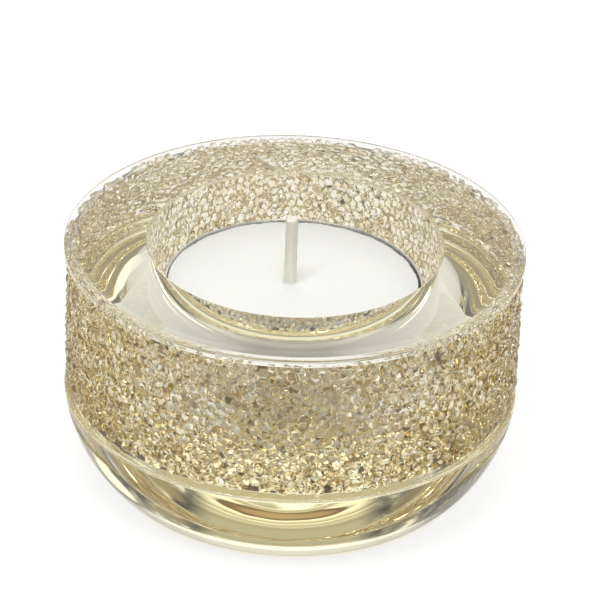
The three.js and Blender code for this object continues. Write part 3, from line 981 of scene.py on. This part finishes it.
stretched = w.add("ShaderNodeMapping", {"Vector": direction, "Scale": (2.5, 2.5, 15.0)}).outputs[0]
streak_noise = {"Vector": stretched, "Scale": 1.0, "Detail": 4.0, "Roughness": 0.62}
room = sky_ramp(
    w.add("ShaderNodeTexNoise", streak_noise).outputs["Fac"],
    (
        (0.44, (0.05, 0.05, 0.06)),
        (0.52, (0.16, 0.155, 0.15)),
        (0.59, (0.45, 0.42, 0.36)),
        (0.68, (1.3, 1.27, 1.2)),
    ),
)
PALE_WALL = (0.98, 0.98, 0.97, 1)
WINDOW_LIGHT = (1.55, 1.55, 1.54, 1)
aside = w.add("ShaderNodeMath", {0: axes["X"]}, operation="ABSOLUTE").outputs[0]
pane = {0: eased(axes["Y"], 0.1, 0.5), 1: eased(axes["Z"], 0.505, 0.545)}
behind = w.add("ShaderNodeMath", pane, operation="MULTIPLY").outputs[0]
window = blended(behind, PALE_WALL, WINDOW_LIGHT)
beside = blended(eased(aside, 0.45, 0.7), window, room)
ceiling = blended(eased(aside, 0.3, 0.46), overhead, room)
above = eased(axes["Z"], math.sin(math.radians(48)), math.sin(math.radians(60)))
sky = blended(above, beside, ceiling)
for azimuth, elevation, inner, outer, colour in (
    (0, 27, 27, 36, (0.32, 0.295, 0.25, 1)),
    (-12, 34, 12, 26, (0.29, 0.265, 0.22, 1)),
    (70, 31, 9, 12, (1.4, 1.4, 1.38, 1)),
    (-64, 33, 7, 11, (0.22, 0.22, 0.22, 1)),
    (-172, 51, 8, 13, (1.3, 1.3, 1.25, 1)),
    (84, 56, 3, 9, (0.36, 0.31, 0.2, 1)),
    (-93, 56, 3, 9, (0.26, 0.22, 0.15, 1)),
    (22, 54, 3, 5, (14, 14, 13.6, 1)),
    (-38, 53, 3, 5, (14, 14, 13.6, 1)),
):
    sky = lobe(azimuth, elevation, inner, outer, sky, colour)
camera_sees = w.add("ShaderNodeLightPath").outputs["Is Camera Ray"]
links.new(blended(camera_sees, sky, WHITE), nodes["Background"].inputs["Color"])

SOFTBOX_SIZE = 0.7
SOFTBOX_HEIGHT = 1.2
SOFTBOX_WATTS = 5.9
SOFTBOX_LEAN = math.radians(20)
softbox = bpy.data.lights.new("overhead_softbox", "AREA")
softbox.shape = "DISK"
softbox.size = SOFTBOX_SIZE
softbox.energy = SOFTBOX_WATTS
softbox_object = bpy.data.objects.new("overhead_softbox", softbox)
softbox_object.location = (-0.12, -0.45, SOFTBOX_HEIGHT)
softbox_object.rotation_euler = (SOFTBOX_LEAN, 0, 0)
softbox_object.visible_glossy = False
softbox_object.visible_transmission = False
bpy.context.scene.collection.objects.link(softbox_object)


# Camera: a long lens at the photograph's angle, turned a little clockwise. The light paths are long enough
# for the stones and the thick base.
CAMERA_DISTANCE = 0.700
CAMERA_ELEVATION = math.radians(30)
CAMERA_ROLL = math.radians(2.14)
CAMERA_TARGET = Vector((0.27, 0, 28.83)) * MM
SENSOR_WIDTH = 36
FOCAL_LENGTH = 275.4
lens = bpy.data.cameras.new("camera")
lens.sensor_width = SENSOR_WIDTH
lens.lens = FOCAL_LENGTH
camera = bpy.data.objects.new("camera", lens)
bpy.context.scene.collection.objects.link(camera)
back = Vector((0, -math.cos(CAMERA_ELEVATION), math.sin(CAMERA_ELEVATION)))
upright = Vector((0, math.sin(CAMERA_ELEVATION), math.cos(CAMERA_ELEVATION)))
right = Vector((1, 0, 0))
camera_right = math.cos(CAMERA_ROLL) * right + math.sin(CAMERA_ROLL) * upright
camera_up = math.cos(CAMERA_ROLL) * upright - math.sin(CAMERA_ROLL) * right
camera_turn = Matrix((camera_right, camera_up, back)).transposed().to_4x4()
camera.matrix_world = Matrix.Translation(CAMERA_TARGET + CAMERA_DISTANCE * back) @ camera_turn
scene = bpy.context.scene
scene.camera = camera
scene.view_settings.view_transform = "Standard"
scene.cycles.max_bounces = 32
scene.cycles.glossy_bounces = 24
scene.cycles.transmission_bounces = 24
scene.cycles.transparent_max_bounces = 48
